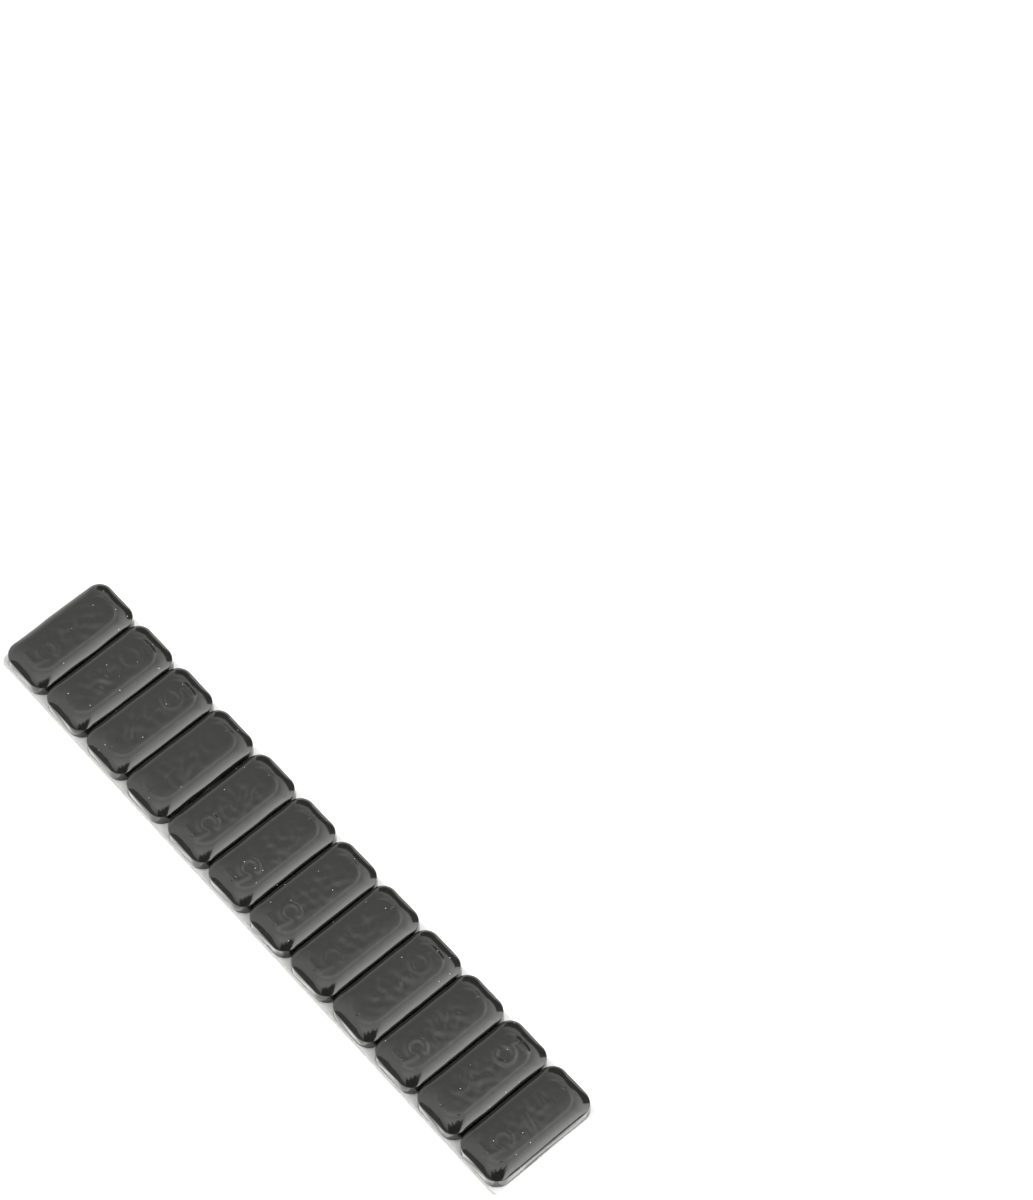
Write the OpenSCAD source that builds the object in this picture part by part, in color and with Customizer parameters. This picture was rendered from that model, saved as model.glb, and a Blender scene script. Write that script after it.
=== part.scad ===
// Strip of stick-on wheel balance weights: coated cast blocks in a row on double-sided foam tape.
// X runs along the strip, Y across it and Z up. The origin is at the middle of the underside.

/* [Strip] */
// Number of weights on the strip
weight_count = 12; // [12:1:12]
// Distance from one weight to the next, middle to middle
weight_pitch = 9.24; // [8:0.01:14]
// Space between the feet of two neighbouring weights
weight_gap = 0.14; // [0.05:0.01:0.6]
// The weight after which the row has its wider space
wide_gap_after = 4; // [1:1:11]
// How much wider that one space is
wide_gap_extra = 0.3; // [0:0.05:1]

/* [Weight] */
// Width of a weight's foot across the strip
weight_w = 19; // [16:0.5:24]
// Height of a weight without its raised numeral
weight_h = 3.3; // [2.5:0.1:5]
// Radius of a weight's upright corners at its foot
corner_r = 2.3; // [1.9:0.1:3]
// How far the crowned border falls from the ledge to the side walls, before their edge is rounded
border_drop = 0.95; // [0.6:0.05:1.1]
// Slope of the border where it starts at the ledge, in degrees
border_start = 10; // [0:1:15]
// Radius of the edge between the border and the side walls
edge_r = 0.4; // [0.2:0.05:0.6]
// Lean of the side walls from upright, in degrees
wall_lean = 3.5; // [0:0.5:6]

/* [Face] */
// Height of the raised pad on the face
pad_rise = 0.12; // [0.05:0.01:0.3]
// Distance from the foot's outline to the pad
pad_inset = 1.6; // [1.5:0.05:1.8]
// Width of the flat ledge between the pad and the border
ledge_w = 0.1; // [0.05:0.05:0.2]
// Radius of the pad's corners
pad_corner_r = 2.4; // [1:0.1:2.6]

/* [Numeral] */
// Height of the raised figure 5
numeral_h = 4.8; // [4:0.1:5.2]
// Width of the figure
numeral_w = 3.6; // [3.4:0.1:4]
// Thickness of the figure's strokes
numeral_stroke = 0.66; // [0.4:0.02:0.9]
// How far the figure stands above the pad
numeral_rise = 0.16; // [0.05:0.01:0.3]
// Distance from the middle of the weight to the middle of the figure
numeral_offset = 5.1; // [4:0.1:5.2]

/* [Tape] */
// Thickness of the foam tape
tape_t = 0.9; // [0.5:0.1:2]
// How far the tape stands out past the weights' feet along both long sides
tape_margin = 0.1; // [0:0.05:0.6]
// How far the tape runs on past the first and the last weight
tape_end = 0.2; // [0:0.05:1]
// Radius of the tape's corners
tape_corner_r = 0.8; // [0.2:0.1:2]
// Thickness of the release liner under the tape
liner_t = 0.1; // [0.05:0.01:0.3]
// How far the liner stands out past the tape all round
liner_margin = 0.05; // [0:0.05:0.5]

/* [Hidden] */
$fn = 96;

// Weights whose figure stands at the +Y end; on the others it stands at the -Y end, turned half round
FIGURE_AT_FAR_END = [2, 3, 4, 9, 11];

weight_l = weight_pitch - weight_gap;
strip_l = weight_count * weight_pitch - weight_gap + wide_gap_extra;
tape_l = strip_l + 2 * tape_end;
tape_w = weight_w + 2 * tape_margin;
tape_z = liner_t;
seat_z = tape_z + tape_t;

// The body below the pad: its side walls, and the border that falls to them from the ledge
body_h = weight_h - pad_rise;
wall_h = body_h - border_drop;
lean = tan(wall_lean);
border_w = pad_inset - ledge_w - wall_h * lean;

// The border follows an arc in flat facets, from its slope at the ledge to its slope at the wall
border_facets = 6;
border_end = 2 * atan(border_drop / border_w) - border_start;
border_r = border_w / (sin(border_end) - sin(border_start));
border_x = corner_r - pad_inset + ledge_w - border_r * sin(border_start);
border_z = body_h - border_r * cos(border_start);

// The small arc of the edge touches the border's arc from inside, and the wall
edge_run = corner_r - edge_r / cos(wall_lean) - border_x;
edge_b = edge_run * lean + border_z;
edge_c = edge_run * edge_run + border_z * border_z - (border_r - edge_r) * (border_r - edge_r);
edge_z = (edge_b + sqrt(edge_b * edge_b - (1 + lean * lean) * edge_c)) / (1 + lean * lean);
edge_x = border_x + edge_run - edge_z * lean;
edge_angle = atan2(edge_z - border_z, edge_x - border_x);

// How deep a raised form starts inside what carries it, so that the two are one solid
root = 0.05;

pad_l = weight_l - 2 * pad_inset;
pad_w = weight_w - 2 * pad_inset;

// Figure 5: a bowl of one ring, a leaning stem and a top bar
bowl_r = numeral_h * 0.345;
bowl_x = bowl_r - numeral_w / 2;
bowl_y = bowl_r - numeral_h / 2;
bar_x = -numeral_w / 4;
bar_y = numeral_h / 2 - numeral_stroke;
// The ring is left open between its tail and the stem, as angles from the figure's right
tail_angle = 206;
stem_angle = 133;
stem_foot = [
    bowl_x + (bowl_r - numeral_stroke / 2) * cos(stem_angle),
    bowl_y + (bowl_r - numeral_stroke / 2) * sin(stem_angle)
];

// Place of weight i along the strip, counted from 1
function weight_x(i) =
    weight_l / 2 - strip_l / 2 + (i - 1) * weight_pitch + (i > wide_gap_after ? wide_gap_extra : 0);

function weight_name(i) = str("weight_", i < 10 ? "0" : "", i);

function figure_at_far_end(i) = len(search(i, FIGURE_AT_FAR_END)) > 0;

// Point of the border's arc in a direction from the arc's centre
function border_point(angle) = [border_x + border_r * cos(angle), border_z + border_r * sin(angle)];

// The part of a disc between two directions, given as angles
module sector(r, low, high) {
    intersection() {
        circle(r);
        polygon([
            [0, 0],
            2 * r * [cos(low), sin(low)],
            2 * r * [cos((low + high) / 2), sin((low + high) / 2)],
            2 * r * [cos(high), sin(high)]
        ]);
    }
}

// Half section of a weight from its corner's axis outwards: leaning wall, small edge, crowned border
module edge_section() {
    wall_top = [edge_x + edge_r * cos(wall_lean), edge_z + edge_r * sin(wall_lean)];
    facet = (90 - border_start - edge_angle) / border_facets;
    border = [for (i = [0 : border_facets]) border_point(edge_angle + i * facet)];
    polygon(concat([[0, 0], [corner_r, 0], wall_top, [edge_x, edge_z]], border, [[0, body_h]]));
    translate([edge_x, edge_z]) sector(edge_r, wall_lean, edge_angle);
}

// A quarter turn of the section, for the corner that faces +X and +Y
module body_corner() {
    rotate_extrude(angle = 90) edge_section();
}

// A straight run of the section along X, with its wall facing +Y
module body_side(run) {
    translate([-run / 2, 0, 0]) rotate([90, 0, 90]) linear_extrude(run) edge_section();
}

module rounded_rectangle(l, w, r) {
    square([l - 2 * r, w], center = true);
    square([l, w - 2 * r], center = true);
    for (sx = [-1, 1], sy = [-1, 1])
        translate([sx * (l / 2 - r), sy * (w / 2 - r)]) circle(r);
}

module weight_body() {
    core_l = weight_l - 2 * corner_r;
    core_w = weight_w - 2 * corner_r;
    translate([-core_l / 2, -core_w / 2, 0]) cube([core_l, core_w, body_h]);
    for (turn = [0, 180]) rotate(turn) {
        translate([0, core_w / 2, 0]) body_side(core_l);
        translate([core_l / 2, 0, 0]) rotate(-90) body_side(core_w);
        translate([core_l / 2, core_w / 2, 0]) body_corner();
        translate([-core_l / 2, core_w / 2, 0]) rotate(90) body_corner();
    }
}

// The figure 5 as a flat outline, upright along Y and centred
module figure_five() {
    translate([bar_x, bar_y]) square([numeral_w / 2 - bar_x, numeral_stroke]);
    polygon([
        [bar_x, bar_y + numeral_stroke / 2],
        [bar_x + numeral_stroke, bar_y + numeral_stroke / 2],
        stem_foot + [numeral_stroke / 2, -numeral_stroke / 4],
        stem_foot + [-numeral_stroke / 2, -numeral_stroke / 4]
    ]);
    difference() {
        translate([bowl_x, bowl_y]) circle(bowl_r);
        translate([bowl_x, bowl_y]) circle(bowl_r - numeral_stroke);
        translate([bowl_x, bowl_y]) polygon([
            [0, 0],
            2 * bowl_r * [cos(stem_angle), sin(stem_angle)],
            2 * bowl_r * [-1, 0],
            2 * bowl_r * [cos(tail_angle), sin(tail_angle)]
        ]);
    }
}

// One weight, standing on z = 0, with its figure at the +Y end
module one_weight() {
    weight_body();
    translate([0, 0, body_h - root])
        linear_extrude(pad_rise + root) rounded_rectangle(pad_l, pad_w, pad_corner_r);
    translate([0, numeral_offset, weight_h - root])
        linear_extrude(numeral_rise + root) figure_five();
}

module placed_weight(i) {
    color([0.13, 0.13, 0.125])
        translate([weight_x(i), 0, seat_z])
            rotate(figure_at_far_end(i) ? 0 : 180) one_weight();
}

module foam_tape() {
    color([0.93, 0.93, 0.92])
        translate([0, 0, tape_z]) linear_extrude(tape_t) rounded_rectangle(tape_l, tape_w, tape_corner_r);
}

module release_liner() {
    liner_l = tape_l + 2 * liner_margin;
    liner_w = tape_w + 2 * liner_margin;
    color([0.97, 0.97, 0.96])
        linear_extrude(liner_t) rounded_rectangle(liner_l, liner_w, tape_corner_r + liner_margin);
}

foam_tape();
release_liner();
for (i = [1 : weight_count])
    placed_weight(i);
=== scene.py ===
import math

import bpy
import numpy as np
from mathutils import Matrix, Vector


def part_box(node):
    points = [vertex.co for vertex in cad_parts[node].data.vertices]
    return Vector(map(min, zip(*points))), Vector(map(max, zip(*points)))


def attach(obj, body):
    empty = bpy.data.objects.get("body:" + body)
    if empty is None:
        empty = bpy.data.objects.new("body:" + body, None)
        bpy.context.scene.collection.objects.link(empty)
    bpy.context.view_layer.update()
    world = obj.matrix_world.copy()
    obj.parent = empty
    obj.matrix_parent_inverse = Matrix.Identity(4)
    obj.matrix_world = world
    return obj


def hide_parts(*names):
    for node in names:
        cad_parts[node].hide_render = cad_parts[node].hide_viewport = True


# A strip of stick-on wheel balance weights: a release liner, a foam tape and twelve coated cast blocks.
# Blender works in metres and this script in millimetres. X runs along the strip, Y across it, Z up.
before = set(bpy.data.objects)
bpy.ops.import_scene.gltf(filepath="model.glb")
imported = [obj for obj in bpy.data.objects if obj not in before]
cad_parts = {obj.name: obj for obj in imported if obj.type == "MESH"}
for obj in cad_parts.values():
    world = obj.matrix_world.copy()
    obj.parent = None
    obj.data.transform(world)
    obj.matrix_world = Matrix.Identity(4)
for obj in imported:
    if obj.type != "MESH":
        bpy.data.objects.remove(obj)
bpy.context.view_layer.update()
MM = 0.001

# Camera
# It looks steeply down on the strip, from beyond its last weight and from its -Y side. Its place comes
# from a fit to the strip's edges in the photograph, and its lens from how the weights shrink with distance.
CAMERA_LENS = 145.1
CAMERA_TARGET = Vector((-13.30, 54.59, 0.0)) * MM
CAMERA_DISTANCE = 720.9 * MM
CAMERA_HEADING = math.radians(48.703)
CAMERA_PITCH = math.radians(62.753)
CAMERA_ROLL = math.radians(0.119)


def add_camera():
    """Adds the camera and makes it the scene's own."""
    flat = math.cos(CAMERA_PITCH)
    forward = Vector((
        -math.sin(CAMERA_HEADING) * flat, math.cos(CAMERA_HEADING) * flat, -math.sin(CAMERA_PITCH)))
    level_right = forward.cross(Vector((0, 0, 1))).normalized()
    level_up = level_right.cross(forward)
    right = level_right * math.cos(CAMERA_ROLL) + level_up * math.sin(CAMERA_ROLL)
    up = level_up * math.cos(CAMERA_ROLL) - level_right * math.sin(CAMERA_ROLL)
    data = bpy.data.cameras.new("camera")
    data.lens = CAMERA_LENS
    data.clip_start = 0.01
    data.clip_end = 20
    camera = bpy.data.objects.new("camera", data)
    turned = Matrix((right, up, -forward)).transposed().to_4x4()
    camera.matrix_world = Matrix.Translation(CAMERA_TARGET - forward * CAMERA_DISTANCE) @ turned
    bpy.context.scene.collection.objects.link(camera)
    bpy.context.scene.camera = camera


add_camera()

# Release liner
# A thin white siliconised film, still on the tape's underside because the strip is unused. It is cut
# with the tape and stands out past it by a hair, and it lies flat on the table.
LINER_WHITE = "#f0efeb"
LINER_SHADE = "#eae9e4"
LINER_ROUND = 0.03
LINER_CORNER = 0.85
LINER_SPACING = 0.5
LINER_SEED = 11
# How deep the cutter's waves are, and the middle and the swing of their depth as shares of it
LINER_WAVE = 0.02
LINER_WAVE_MIDDLE = 0.5
LINER_WAVE_SWING = 0.33

# Where a strip's two long sides read their waves, far enough apart for them to differ
WAVE_PLACES = (0, 40)
ROUND_STEPS = 3
CORNER_ROWS = 12


def linear(hex_colour, alpha=1.0):
    """An sRGB hex colour as the linear colour that Blender's sockets take."""
    channels = [int(hex_colour[i : i + 2], 16) / 255 for i in (1, 3, 5)]
    return (*[c / 12.92 if c <= 0.04045 else ((c + 0.055) / 1.055) ** 2.4 for c in channels], alpha)


def add_node(material, kind, settings=None, links=None):
    """Adds a node, sets its properties and sockets, and links its inputs from other nodes' outputs."""
    node = material.node_tree.nodes.new(kind)
    for name, value in (settings or {}).items():
        if isinstance(name, str) and hasattr(node, name):
            setattr(node, name, value)
        else:
            node.inputs[name].default_value = value
    for name, source in (links or {}).items():
        material.node_tree.links.new(source, node.inputs[name])
    return node


def maths(material, operation, *terms, clamp=False):
    """The result of a maths node, whose terms are numbers or other nodes' outputs."""
    settings = {i: term for i, term in enumerate(terms) if isinstance(term, (int, float))}
    links = {i: term for i, term in enumerate(terms) if i not in settings}
    node = add_node(
        material, "ShaderNodeMath", {"operation": operation, "use_clamp": clamp, **settings}, links)
    return node.outputs["Value"]


def spread(material, value, before, after, soft=False):
    """A value moved from the range before to the range after, evenly or softly, and held at its ends."""
    node = add_node(
        material, "ShaderNodeMapRange",
        {"interpolation_type": "SMOOTHSTEP" if soft else "LINEAR", "From Min": before[0],
         "From Max": before[1], "To Min": after[0], "To Max": after[1]}, {"Value": value})
    return node.outputs["Result"]


def noise(material, place, size, detail, roughness=0.5):
    """A soft noise over the object, with its grain's size in millimetres."""
    node = add_node(
        material, "ShaderNodeTexNoise",
        {"Scale": 1 / (size * MM), "Detail": detail, "Roughness": roughness}, {"Vector": place})
    return node.outputs["Fac"]


def cells(material, place, size):
    """The outputs of a cell pattern over the object, with its cells' size in millimetres."""
    return add_node(
        material, "ShaderNodeTexVoronoi", {"Scale": 1 / (size * MM)}, {"Vector": place}).outputs


def blend(material, low, high, factor):
    """A colour between two hex colours, by a factor from another node."""
    node = add_node(
        material, "ShaderNodeMix", {"data_type": "RGBA", 6: linear(low), 7: linear(high)},
        {"Factor": factor})
    return node.outputs[2]


def new_material(name):
    """An empty node material, its output node's surface socket, and places on the object that wears it."""
    material = bpy.data.materials.new(name)
    material.use_nodes = True
    material.node_tree.nodes.clear()
    surface = add_node(material, "ShaderNodeOutputMaterial").inputs["Surface"]
    return material, surface, add_node(material, "ShaderNodeTexCoord").outputs["Object"]


def add_mesh(name, points_mm, faces, material):
    """A smooth-shaded mesh object from points in millimetres."""
    mesh = bpy.data.meshes.new(name)
    mesh.from_pydata((np.asarray(points_mm) * MM).tolist(), [], faces)
    mesh.polygons.foreach_set("use_smooth", [True] * len(mesh.polygons))
    mesh.materials.append(material)
    mesh.update()
    thing = bpy.data.objects.new(name, mesh)
    bpy.context.scene.collection.objects.link(thing)
    return thing


def box_mm(node):
    """A CAD node's lowest and highest corners, in millimetres."""
    low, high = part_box(node)
    return np.array(low) / MM, np.array(high) / MM


def loft(sections):
    """Points and faces of a closed solid through sections of equal length, with a cap at each end."""
    count = len(sections[0])
    points = np.concatenate(sections)
    faces = []
    for s in range(len(sections) - 1):
        a, b = s * count, (s + 1) * count
        for i in range(count):
            j = (i + 1) % count
            faces.append((a + i, a + j, b + j, b + i))
    faces.append(tuple(reversed(range(count))))
    faces.append(tuple(range((len(sections) - 1) * count, len(sections) * count)))
    return points, faces


def waves(rng, count, shortest, longest):
    """Random plane waves, as rows of x and y frequency and phase, that ripple() adds up."""
    length = np.exp(rng.uniform(math.log(shortest), math.log(longest), count))
    heading = rng.uniform(0, 2 * math.pi, count)
    phase = rng.uniform(0, 2 * math.pi, count)
    return np.stack([np.cos(heading) / length, np.sin(heading) / length, phase], 1)


def ripple(field, x, y):
    """The sum of the waves at each point, which is mostly between -1.5 and 1.5."""
    total = sum(np.cos(2 * math.pi * (fx * x + fy * y) + phase) for fx, fy, phase in field)
    return total * math.sqrt(2 / len(field))


def strip_section(x, half_width, z_low, z_high, edge, side_low, side_high):
    """A flat strip's cross section at x, with rounded edges; side_low and side_high move its sides in."""
    ring = []
    for side, top, start in ((1, False, -90), (1, True, 0), (-1, True, 90), (-1, False, 180)):
        inward = side_high if side > 0 else side_low
        y = side * (half_width - inward - edge)
        z = (z_high - edge) if top else (z_low + edge)
        for step in range(ROUND_STEPS + 1):
            turn = math.radians(start + step * 90 / ROUND_STEPS)
            ring.append((x, y + edge * math.cos(turn), z + edge * math.sin(turn)))
    return np.array(ring)


def corner_inset(x, low, high, radius):
    """How far a strip's rounded corners move its two sides in at x, near its ends."""
    reach = radius - min(radius, x - low, high - x)
    return radius - math.sqrt(radius * radius - reach * reach)


def stations(low, high, radius, spacing):
    """Places along a strip for its cross sections, close together round its corners."""
    turn = 1 - np.cos(np.linspace(0, math.pi / 2, CORNER_ROWS))
    straight = np.linspace(low + radius, high - radius, int((high - low) / spacing))
    return np.concatenate([low + radius * turn, straight[1:-1], high - radius * turn[::-1]])


def liner_film():
    """Siliconised film: smooth and a little shiny, with a faint unevenness from the coating roller."""
    material, output, place = new_material("siliconised_film")
    mottle = noise(material, place, size=4, detail=3.0)
    surface = add_node(
        material, "ShaderNodeBsdfPrincipled", {"IOR": 1.45},
        {"Base Color": blend(material, LINER_SHADE, LINER_WHITE, mottle),
         "Roughness": spread(material, mottle, (0, 1), (0.3, 0.45))})
    material.node_tree.links.new(surface.outputs["BSDF"], output)
    return material


def make_liner():
    """The liner as a thin film, with edges that the cutter left a little wavy."""
    low, high = box_mm("release_liner")
    rng = np.random.RandomState(LINER_SEED)
    field = waves(rng, count=6, shortest=5, longest=30)
    sections = []
    for x in stations(low[0], high[0], LINER_CORNER, LINER_SPACING):
        corner = corner_inset(x, low[0], high[0], LINER_CORNER)
        inward = [
            max(0, LINER_WAVE * (LINER_WAVE_MIDDLE + LINER_WAVE_SWING * ripple(field, x, y))) + corner
            for y in WAVE_PLACES]
        sections.append(strip_section(x, high[1], low[2], high[2], LINER_ROUND, *inward))
    return add_mesh("liner", *loft(sections), liner_film())


liner = make_liner()
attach(liner, "root")
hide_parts("release_liner")

# Foam tape
# Double-sided acrylic tape on a white closed-cell foam, a strip as wide as the weights and a hair more.
# It is slit from a wide roll, so its long sides are straight cuts through the cells, with small nicks.
FOAM_WHITE = "#efefed"
# The second tone is painted shade, laid in the foam's cell pits
FOAM_SHADE = "#e3e3e0"
FOAM_CELL = 0.16
FOAM_CLOUD = 1.3
FOAM_ROUND = 0.07
FOAM_CORNER = 0.8
FOAM_SPACING = 0.125
FOAM_SEED = 5
# How deep the knife's waves are, and the middle and the swing of their depth as shares of it
SLIT_WAVE = 0.05
SLIT_WAVE_MIDDLE = 0.4
SLIT_WAVE_SWING = 0.3
NICK_COUNT = 46
NICK_WIDTHS = (0.08, 0.3)
NICK_DEPTHS = (0.01, 0.07)


def cut_foam():
    """Cut polyethylene foam: matte white, with open half cells along the cut and painted shade in their
    pits.
    """
    material, output, place = new_material("slit_foam")
    distance = cells(material, place, FOAM_CELL)["Distance"]
    # Painted shade: the foam is a little darker where its cell pattern sinks, and a cloud noise varies how
    # much
    pit_shade = spread(material, distance, (0.1, 0.6), (0, 1))
    mixed = maths(material, "MULTIPLY", pit_shade, noise(material, place, FOAM_CLOUD, detail=4.0))
    bump = add_node(
        material, "ShaderNodeBump", {"Strength": 0.5, "Distance": 0.03 * MM, "invert": True},
        {"Height": distance})
    surface = add_node(
        material, "ShaderNodeBsdfPrincipled", {"IOR": 1.5, "Roughness": 0.85, "Specular IOR Level": 0.25},
        {"Base Color": blend(material, FOAM_WHITE, FOAM_SHADE, mixed), "Normal": bump.outputs["Normal"]})
    material.node_tree.links.new(surface.outputs["BSDF"], output)
    return material


def nick_depth(places, x):
    """How far the nicks of one slit side move it in at x; a place is a nick's middle, width and depth."""
    middle, width, depth = places.T
    return float(np.sum(depth * np.exp(-(((x - middle) / width) ** 2))))


def slit_inset(field, nicks, x, y):
    """How far the knife's waves, read at x and y, and the nicks of one slit side move it in."""
    wave = SLIT_WAVE * (SLIT_WAVE_MIDDLE + SLIT_WAVE_SWING * ripple(field, x, y))
    return max(0, wave + nick_depth(nicks, x))


def make_tape():
    """The tape as a loft along the strip, with wavy slit sides and a few small nicks in them."""
    low, high = box_mm("foam_tape")
    rng = np.random.RandomState(FOAM_SEED)
    field = waves(rng, count=12, shortest=0.8, longest=12)
    ranges = ((low[0], high[0]), NICK_WIDTHS, NICK_DEPTHS)
    nicks = [np.stack([rng.uniform(*ends, NICK_COUNT) for ends in ranges], 1) for side in range(2)]
    sections = []
    for x in stations(low[0], high[0], FOAM_CORNER, FOAM_SPACING):
        corner = corner_inset(x, low[0], high[0], FOAM_CORNER)
        inward = [corner + slit_inset(field, nicks[side], x, WAVE_PLACES[side]) for side in range(2)]
        sections.append(strip_section(x, high[1], low[2], high[2], FOAM_ROUND, *inward))
    return add_mesh("tape", *loft(sections), cut_foam())


tape = make_tape()
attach(tape, "root")
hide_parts("foam_tape")

# Weights
# Twelve blocks cast in lead alloy, each dipped in a thick black coat that flows before it sets: it rounds
# every edge and half drowns the raised pad and the figure. They are pressed onto the tape in a row.
WEIGHT_SEED = 100
CORNER_RADIUS = 2.3
WALL_LEAN = math.radians(1.5)
EDGE_RADIUS = 0.32
BORDER_DROP = 0.92
BORDER_START = math.radians(10)
PAD_INSET = 1.6
PAD_CORNER_RADIUS = 2.6
# The coat leaves less than half of the cast pad's step standing, and crowns the pad itself
PAD_RISE = 0.055
PAD_STEP = 0.46
CROWN_RISE = 0.135
CROWN_REACH = 2.8
CROWN_POWER = 2.8

# The foot's small rounding, whose rows are shares of its size inwards and upwards
FOOT_ROUND = 0.05
FOOT_ROWS = ((1, 0), (0.4, 0.25), (0.05, 0.8))
WALL_START = 0.25
WALL_ROWS = 8
EDGE_ROWS = 7
BORDER_ROWS = 18
STEP_ROWS = 6
CORNER_STEPS = 8
SIDE_STEP = 0.125

# The raised figure 5, whose bowl has an outer radius that is a share of the figure's height
FIGURE_HEIGHT = 4.8
FIGURE_WIDTH = 3.6
FIGURE_STROKE = 0.66
FIGURE_RISE = 0.16
FIGURE_OFFSET = 5.1
BOWL_SHARE = 0.345
BOWL_START = math.radians(133)
BOWL_END = math.radians(-154)
FIGURE_AT_FAR_END = (2, 3, 4, 9, 11)
# How sharply the coat left each weight's figure standing, from 0, drowned, to 1, crisp
FIGURE_CLEAR = (0.45, 0.4, 0.55, 0.1, 0.7, 0.8, 0.75, 0.4, 0.45, 0.8, 1.0, 0.5)
# How much of the cast figure's height a crisp one keeps
FIGURE_SHARE = 0.8
# Half the width of the coat's slope at a stroke's edge, and how much narrower it is on a crisp figure
SLOPE_HALF = 0.36
SLOPE_SHARPENING = 0.13

# The coat's sags fill a patch in the middle of the face, and its peel the whole face. Both fade in
# between two insets from the foot's outline.
SAG_HEIGHT = 0.031
SAG_MIDDLE_Y = -1.2
SAG_HALF_X = 2.6
SAG_HALF_Y = 4.2
SAG_FADE = (0.9, 2.6)
PEEL_HEIGHT = 0.0035
PEEL_FADE = (0.3, 1.2)
TOP_MARGIN = 0.01
# The outline's own waves, which shift with height, and how far in and out they may move it
OUTLINE_WAVE = 0.025
OUTLINE_SHIFT = 2
OUTLINE_LIMITS = (-0.05, 0.03)
# The face's forms fade in over the border, between two shares of the way from the outline to the pad
BORDER_FADE = (0.1, 0.5)

COAT_BLACK = "#20201d"
COAT_HAZE = 3.5
PEEL_GRAIN = 0.7
DUST_WHITE = "#c9c8c3"
DUST_SPACING = 0.9
# A speck fades out between two shares of the spacing, in cells whose random red is above the threshold
DUST_FADE = (0.06, 0.1)
DUST_THRESHOLD = 0.86


def dipped_coat():
    """Dip coat, a soft black vinyl: glossy, with an orange-peel skin and white dust specks stuck to it."""
    material, output, place = new_material("dipped_black_vinyl")
    peel = noise(material, place, PEEL_GRAIN, detail=2.0, roughness=0.45)
    bump = add_node(
        material, "ShaderNodeBump", {"Strength": 0.35, "Distance": 0.02 * MM}, {"Height": peel})
    gloss = spread(material, noise(material, place, COAT_HAZE, detail=3.0), (0, 1), (0.07, 0.17))
    specks = cells(material, place, DUST_SPACING)
    near = spread(material, specks["Distance"], DUST_FADE, (1, 0))
    pick = add_node(material, "ShaderNodeSeparateColor", {}, {"Color": specks["Color"]})
    few = maths(material, "GREATER_THAN", pick.outputs["Red"], DUST_THRESHOLD)
    tone = blend(material, COAT_BLACK, DUST_WHITE, maths(material, "MULTIPLY", near, few))
    surface = add_node(
        material, "ShaderNodeBsdfPrincipled", {"IOR": 1.6},
        {"Base Color": tone, "Roughness": gloss, "Normal": bump.outputs["Normal"]})
    material.node_tree.links.new(surface.outputs["BSDF"], output)
    return material


def smooth(low, high, value):
    """0 below low and 1 above high, with a soft step between them."""
    t = np.clip((value - low) / (high - low), 0, 1)
    return t * t * (3 - 2 * t)


def rounded_loop(half_x, half_y, radius, steps):
    """A rounded rectangle's points, anticlockwise from the middle of its front left corner, and normals."""
    straight = np.array([half_x, half_y]) - radius
    points, normals = [], []
    for side in range(4):
        along = side % 2
        turn = math.radians(-90 + 90 * side)
        normal = np.array([math.cos(turn), math.sin(turn)])
        tangent = np.array([-normal[1], normal[0]])
        shares = np.concatenate([
            -np.ones(CORNER_STEPS), np.linspace(-1, 1, steps[along] + 1), np.ones(CORNER_STEPS - 1)])
        bends = np.concatenate([
            np.linspace(-45, 0, CORNER_STEPS + 1)[:-1], np.zeros(steps[along] + 1),
            np.linspace(0, 45, CORNER_STEPS + 1)[1:-1]])
        heading = turn + np.radians(bends)
        outward = np.stack([np.cos(heading), np.sin(heading)], 1)
        centres = normal * straight[1 - along] + tangent * shares[:, None] * straight[along]
        points.append(centres + radius * outward)
        normals.append(outward)
    return np.concatenate(points), np.concatenate(normals)


def fill_grid(loop, steps_x, steps_y):
    """Points of a grid whose border is the loop, blended inwards from its four sides."""
    corners = [0, steps_x, steps_x + steps_y, 2 * steps_x + steps_y]
    bottom = loop[corners[0] : corners[1] + 1]
    right = loop[corners[1] : corners[2] + 1]
    top = loop[corners[2] : corners[3] + 1][::-1]
    left = np.concatenate([loop[corners[3] :], loop[:1]])[::-1]
    u = np.linspace(0, 1, steps_x + 1)[None, :, None]
    v = np.linspace(0, 1, steps_y + 1)[:, None, None]
    sides = (1 - v) * bottom[None] + v * top[None] + (1 - u) * left[:, None] + u * right[:, None]
    flat = (
        (1 - u) * (1 - v) * bottom[0] + u * (1 - v) * bottom[-1] + u * v * top[-1] + (1 - u) * v * top[0])
    return sides - flat


def arc(centre, radius, start, end, count):
    """Points round a centre, from one direction to another."""
    return [
        centre + radius * np.array([math.cos(a), math.sin(a)]) for a in np.linspace(start, end, count)]


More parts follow.
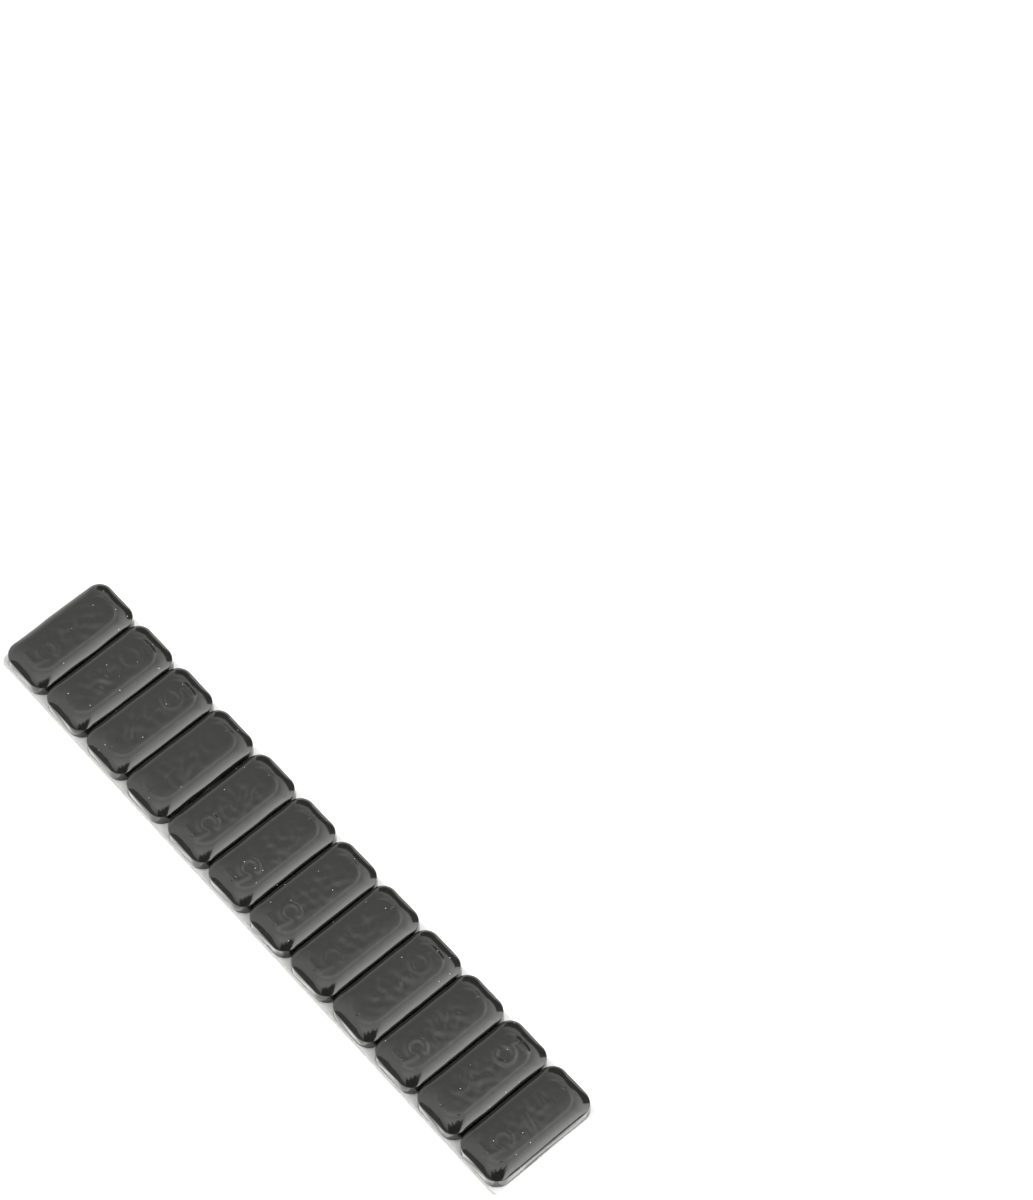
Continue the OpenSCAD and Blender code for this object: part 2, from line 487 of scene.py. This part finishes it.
def side_profile(body_height):
    """Rows of share and height up the side: the share is 0 at the foot's outline and 1 at the pad's."""
    lean = math.tan(WALL_LEAN)
    width = PAD_INSET - (body_height - BORDER_DROP) * lean
    slope = 2 * math.atan(BORDER_DROP / width) - BORDER_START
    radius = width / (math.sin(slope) - math.sin(BORDER_START))
    border = np.array([-PAD_INSET, body_height])
    border -= radius * np.array([math.sin(BORDER_START), math.cos(BORDER_START)])
    # The edge's small arc touches the border's large one from inside, and the wall
    run = -EDGE_RADIUS / math.cos(WALL_LEAN) - border[0]
    half = run * lean + border[1]
    rest = run ** 2 + border[1] ** 2 - (radius - EDGE_RADIUS) ** 2
    height = (half + math.sqrt(half ** 2 - (1 + lean ** 2) * rest)) / (1 + lean ** 2)
    edge = np.array([border[0] + run - height * lean, height])
    turn = math.atan2(*(edge - border)[::-1])
    rows = [(-inward * FOOT_ROUND, up * FOOT_ROUND) for inward, up in FOOT_ROWS]
    rows += [(-z * lean, z) for z in np.linspace(WALL_START, edge[1], WALL_ROWS)[:-1]]
    rows += arc(edge, EDGE_RADIUS, WALL_LEAN, turn, EDGE_ROWS)
    rows += arc(border, radius, turn, math.pi / 2 - BORDER_START, BORDER_ROWS)[1:]
    rows += [(-PAD_INSET - step, body_height) for step in np.linspace(0, PAD_STEP, STEP_ROWS)[1:]]
    return np.array(rows) / [-PAD_INSET, 1]


def stroke_distance(x, y):
    """Distance from each point to the middle line of the figure 5, which stands upright along Y."""
    half = FIGURE_STROKE / 2
    bowl = FIGURE_HEIGHT * BOWL_SHARE - half
    bowl_x = bowl + half - FIGURE_WIDTH / 2
    bowl_y = bowl + half - FIGURE_HEIGHT / 2
    bar_y = FIGURE_HEIGHT / 2 - half
    stem_foot = (bowl_x + bowl * math.cos(BOWL_START), bowl_y + bowl * math.sin(BOWL_START))
    corners = [(FIGURE_WIDTH / 2 - half, bar_y), (half - FIGURE_WIDTH / 4, bar_y), stem_foot]
    best = np.full(x.shape, np.inf)
    for (ax, ay), (bx, by) in zip(corners, corners[1:]):
        dx, dy = bx - ax, by - ay
        t = np.clip(((x - ax) * dx + (y - ay) * dy) / (dx * dx + dy * dy), 0, 1)
        best = np.minimum(best, np.hypot(x - ax - t * dx, y - ay - t * dy))
    heading = np.arctan2(y - bowl_y, x - bowl_x)
    on_arc = np.abs(np.hypot(x - bowl_x, y - bowl_y) - bowl)
    tail = np.hypot(x - bowl_x - bowl * math.cos(BOWL_END), y - bowl_y - bowl * math.sin(BOWL_END))
    return np.minimum(best, np.where((heading <= BOWL_START) & (heading >= BOWL_END), on_arc, tail))


def face_lift(x, y, inset, clear, sag, peel):
    """How far the coated face stands above the plain body at each point, from its place and inset."""
    step = PAD_RISE * smooth(PAD_INSET, PAD_INSET + PAD_STEP, inset)
    crown = CROWN_RISE * (1 - np.clip(1 - (inset - PAD_INSET) / CROWN_REACH, 0, 1) ** CROWN_POWER)
    soft = SLOPE_HALF - SLOPE_SHARPENING * clear
    off_line = stroke_distance(x, y - FIGURE_OFFSET)
    stroke = 1 - smooth(FIGURE_STROKE / 2 - soft, FIGURE_STROKE / 2 + soft, off_line)
    figure = FIGURE_SHARE * FIGURE_RISE * clear * stroke
    patch = np.exp(-((x / SAG_HALF_X) ** 2) - ((y - SAG_MIDDLE_Y) / SAG_HALF_Y) ** 4)
    patch = patch * smooth(*SAG_FADE, inset)
    flow = SAG_HEIGHT * ripple(sag, x, y) * patch
    flow = flow + PEEL_HEIGHT * ripple(peel, x, y) * smooth(*PEEL_FADE, inset)
    return np.minimum(step + crown + figure + flow, PAD_RISE + CROWN_RISE + FIGURE_RISE - TOP_MARGIN)


def face_inset(x, y, half_x, half_y):
    """Distance from each point of the face to the foot's outline, rounded as the pad is at its corners."""
    over_x, over_y = (
        np.abs(place) - half + PAD_INSET + PAD_CORNER_RADIUS for place, half in ((x, half_x), (y, half_y)))
    beyond = np.hypot(np.maximum(over_x, 0), np.maximum(over_y, 0))
    beyond = beyond + np.minimum(np.maximum(over_x, over_y), 0)
    return PAD_INSET + PAD_CORNER_RADIUS - beyond


def skin_points(half, body_height, clear, sag, peel, outline):
    """The rings of points up a weight's side, and the grid of points over its face."""
    steps = [int(round(2 * (size - CORNER_RADIUS) / SIDE_STEP)) for size in half]
    foot, outward = rounded_loop(*half, CORNER_RADIUS, steps)
    pad, _ = rounded_loop(*(half - PAD_INSET), PAD_CORNER_RADIUS, steps)
    rings = []
    for share, z in side_profile(body_height):
        wave = OUTLINE_WAVE * ripple(outline, foot[:, 0] + OUTLINE_SHIFT * z, foot[:, 1])
        wave = np.clip(wave, *OUTLINE_LIMITS)
        flat = foot + share * (pad - foot) + (wave * max(0, 1 - share))[:, None] * outward
        inset = share * PAD_INSET if share < 1 else face_inset(flat[:, 0], flat[:, 1], *half)
        lift = face_lift(flat[:, 0], flat[:, 1], inset, clear, sag, peel)
        rings.append(np.column_stack([flat, z + lift * float(smooth(*BORDER_FADE, share))]))
    grid = fill_grid(rings[-1][:, :2], *[count + 2 * CORNER_STEPS for count in steps])
    inset = face_inset(grid[..., 0], grid[..., 1], *half)
    lift = face_lift(grid[..., 0], grid[..., 1], inset, clear, sag, peel)
    return rings, np.dstack([grid, body_height + lift])


def skin_faces(ring_size, ring_count, rows, columns):
    """Faces of a skin: a closed foot, bands up its rings to the face's border, and the face's grid."""
    grid = ring_count * ring_size + np.arange(rows * columns).reshape(rows, columns)
    border = np.concatenate([grid[0, :-1], grid[:-1, -1], grid[-1, :0:-1], grid[:0:-1, 0]])
    loops = [np.arange(ring_size) + ring * ring_size for ring in range(ring_count)] + [border]
    faces = [tuple(int(i) for i in loops[0][::-1])]
    for lower, upper in zip(loops, loops[1:]):
        quads = np.stack([lower, np.roll(lower, -1), np.roll(upper, -1), upper], 1)
        faces += [tuple(quad) for quad in quads.tolist()]
    quads = np.stack([grid[:-1, :-1], grid[:-1, 1:], grid[1:, 1:], grid[1:, :-1]], -1)
    faces += [tuple(quad) for quad in quads.reshape(-1, 4).tolist()]
    return faces


def make_weight(index, clear, coat):
    """One weight's skin: rings up its side, then a grid over its face in place of the last ring."""
    low, high = box_mm(f"weight_{index:02d}")
    middle = (low + high) / 2
    half = (high[:2] - low[:2]) / 2
    body_height = high[2] - low[2] - FIGURE_RISE - PAD_RISE - CROWN_RISE
    rng = np.random.RandomState(WEIGHT_SEED + index)
    sag = waves(rng, count=24, shortest=1.3, longest=3.4)
    peel = waves(rng, count=22, shortest=1.0, longest=2.6)
    outline = waves(rng, count=8, shortest=4, longest=16)
    rings, grid = skin_points(half, body_height, clear, sag, peel, outline)
    points = np.concatenate([*rings[:-1], grid.reshape(-1, 3)])
    if index not in FIGURE_AT_FAR_END:
        points[:, :2] *= -1
    points += [middle[0], middle[1], low[2]]
    faces = skin_faces(len(rings[0]), len(rings) - 1, *grid.shape[:2])
    weight = add_mesh(f"coated_weight_{index:02d}", points, faces, coat)
    weight.data.polygons[0].use_smooth = False
    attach(weight, "root")
    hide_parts(f"weight_{index:02d}")


coat = dipped_coat()
for index, clear in enumerate(FIGURE_CLEAR, 1):
    make_weight(index, clear, coat)

# Floor, room and cards
# A white table in a white room, with a wide window beyond the strip's last weight. Grey and black cards
# stand round three sides and show as dark bands in the coat's edges. A level of 1 is white. Together the
# levels light the strip about twice as strongly as a plain white room does, and white surfaces clip.
FLOOR_WHITE = "#f4f4f3"
FLOOR_SHADE = "#f2f2f1"
FLOOR_HALF = 3.0
FLOOR_DROP = 0.01
FLOOR_GRAIN = 9
FLOOR_LIFT = 0.25
# Half the strip's size, and a painted glow round it that only reflections see, painted light that brightens
# the coat's lowest edges: its level and where it fades
STRIP_CORNER = (55.8 * MM, 9.7 * MM, 0)
PAINTED_GLOW_LEVEL = 1.1
PAINTED_GLOW_FADE = (0.1 * MM, 1.0 * MM)

# A direction in the room is given by its x and y on the unit sphere. The window's slope is how much
# brighter it gets for each unit of x, and an edge is the two places between which a part fades.
ROOM_LEVEL = 0.94
WINDOW_SLOPE = 3.1
WINDOW_START = -0.3
WINDOW_MIDDLE = 0.28
WINDOW_EDGE = (0.5, 0.95)
NEAR_LEVEL = 0.9
NEAR_MIDDLE = (-0.36, -0.5, 0)
NEAR_EDGE = (0.3, 0.85)
FAR_LEVEL = 0.75
FAR_EDGE = (0.36, 0.56)
PANE_LEVEL = 1.5
PANE_START = 0.6
BACK_LEVEL = 0.7
BACK_START = -0.82


def table_white():
    """Matte white table board, lifted a little towards white where the camera or a reflection sees it.

    Close to the strip it also has a painted glow, in reflections alone, which lightens the coat's lowest
    edges.
    """
    material, output, place = new_material("matte_table_board")
    tone = blend(material, FLOOR_SHADE, FLOOR_WHITE, noise(material, place, FLOOR_GRAIN, detail=2.0))
    board = add_node(material, "ShaderNodeBsdfDiffuse", {}, {"Color": tone})
    ray = add_node(material, "ShaderNodeLightPath").outputs
    seen = maths(material, "ADD", ray["Is Camera Ray"], ray["Is Glossy Ray"])
    seen = maths(material, "ADD", seen, ray["Is Transmission Ray"], clamp=True)
    away = add_node(material, "ShaderNodeVectorMath", {"operation": "ABSOLUTE"}, {0: place})
    for operation, corner in (("SUBTRACT", STRIP_CORNER), ("MAXIMUM", (0, 0, 0))):
        away = add_node(
            material, "ShaderNodeVectorMath", {"operation": operation, 1: corner},
            {0: away.outputs["Vector"]})
    away = add_node(
        material, "ShaderNodeVectorMath", {"operation": "LENGTH"}, {0: away.outputs["Vector"]})
    # Painted light: the board glows near the strip for glossy rays only, which brightens the reflections in
    # the coat's foot
    painted_glow = spread(material, away.outputs["Value"], PAINTED_GLOW_FADE, (PAINTED_GLOW_LEVEL, 0), soft=True)
    painted_glow = maths(material, "MULTIPLY", painted_glow, ray["Is Glossy Ray"])
    level = maths(material, "MULTIPLY_ADD", seen, FLOOR_LIFT, painted_glow)
    lift = add_node(material, "ShaderNodeEmission", {}, {"Strength": level})
    both = add_node(
        material, "ShaderNodeAddShader", {}, {0: board.outputs["BSDF"], 1: lift.outputs["Emission"]})
    material.node_tree.links.new(both.outputs["Shader"], output)
    return material


def add_panel(name, corners, material):
    """A flat stage panel from its corners in metres, hidden from the camera but not from reflections."""
    panel = add_mesh(name, np.array(corners) / MM, [tuple(range(len(corners)))], material)
    panel.visible_camera = False


floor_corners = [
    (x * FLOOR_HALF / MM, y * FLOOR_HALF / MM, -FLOOR_DROP) for x, y in ((-1, -1), (1, -1), (1, 1), (-1, 1))]
floor = add_mesh("floor", floor_corners, [(0, 1, 2, 3)], table_white())


def white_room():
    """The room: even, but brighter in the window beyond +X, on the near and far walls and at both ends."""
    room = bpy.data.worlds.new("white_room")
    room.use_nodes = True
    room.node_tree.nodes.clear()
    place = add_node(room, "ShaderNodeTexCoord").outputs["Generated"]
    axes = add_node(room, "ShaderNodeSeparateXYZ", {}, {0: place}).outputs
    window = spread(room, axes["X"], (WINDOW_START, 1), (0, (1 - WINDOW_START) * WINDOW_SLOPE))
    aside = maths(room, "ABSOLUTE", maths(room, "SUBTRACT", axes["Y"], WINDOW_MIDDLE))
    pane = spread(room, aside, WINDOW_EDGE, (1, 0), soft=True)
    level = maths(room, "MULTIPLY_ADD", window, pane, ROOM_LEVEL)
    plan = add_node(room, "ShaderNodeVectorMath", {"operation": "MULTIPLY", 1: (1, 1, 0)}, {0: place})
    apart = add_node(
        room, "ShaderNodeVectorMath", {"operation": "DISTANCE", 1: NEAR_MIDDLE}, {0: plan.outputs["Vector"]})
    walls = (
        spread(room, apart.outputs["Value"], NEAR_EDGE, (NEAR_LEVEL, 0), soft=True),
        spread(room, axes["Y"], FAR_EDGE, (0, FAR_LEVEL), soft=True),
        spread(room, axes["X"], (PANE_START, 1), (0, PANE_LEVEL)),
        spread(room, axes["X"], (BACK_START, -1), (0, BACK_LEVEL)))
    for wall in walls:
        level = maths(room, "ADD", level, wall)
    background = add_node(room, "ShaderNodeBackground", {}, {"Strength": level})
    output = add_node(room, "ShaderNodeOutputWorld")
    room.node_tree.links.new(background.outputs["Background"], output.inputs["Surface"])
    return room


bpy.context.scene.world = white_room()


def flock_card(name, colour):
    """Flock card, whose pile gives back light evenly and without a shine."""
    material, output, _ = new_material(name)
    surface = add_node(material, "ShaderNodeBsdfDiffuse", {"Color": linear(colour)})
    material.node_tree.links.new(surface.outputs["BSDF"], output)
    return material


card = flock_card("black_flock_card", "#0a0a0a")
grey_card = flock_card("grey_flock_card", "#808080")
dark_card = flock_card("dark_grey_flock_card", "#505050")
add_panel(
    "card_near", [(-1.3, -1.5, 0.1), (0.9, -1.5, 0.1), (0.9, -1.5, 1.25), (-1.3, -1.5, 1.35)], grey_card)
add_panel(
    "card_far", [(0.66, 1.5, 0.14), (-2.4, 1.5, 0.14), (-2.4, 1.5, 1.45), (0.66, 1.5, 1.45)], dark_card)
add_panel(
    "card_window_sill", [(1.2, -1.5, 0.0), (1.2, 0.7, 0.0), (1.2, 0.7, 0.3), (1.2, -1.5, 0.3)], card)

# A dark upright shape just behind the camera, which shows in each weight's near corner
DARK_SHAPE = (
    (-0.3, -1.25), (0.3, -1.25), (0.36, -0.3), (0.3, -0.05), (0.33, 0.08), (0.24, 0.0), (0.2, 0.26),
    (0.12, 0.12), (0.06, 0.27), (-0.02, 0.02), (-0.08, 0.2), (-0.14, -0.05), (-0.2, 0.1), (-0.27, -0.08),
    (-0.36, -0.3))
DARK_SHAPE_BEHIND = 0.1
eye = bpy.context.scene.camera.matrix_world
add_panel("dark_shape", [eye @ Vector((across, up, DARK_SHAPE_BEHIND)) for across, up in DARK_SHAPE], card)

bpy.context.scene.view_settings.view_transform = "Standard"
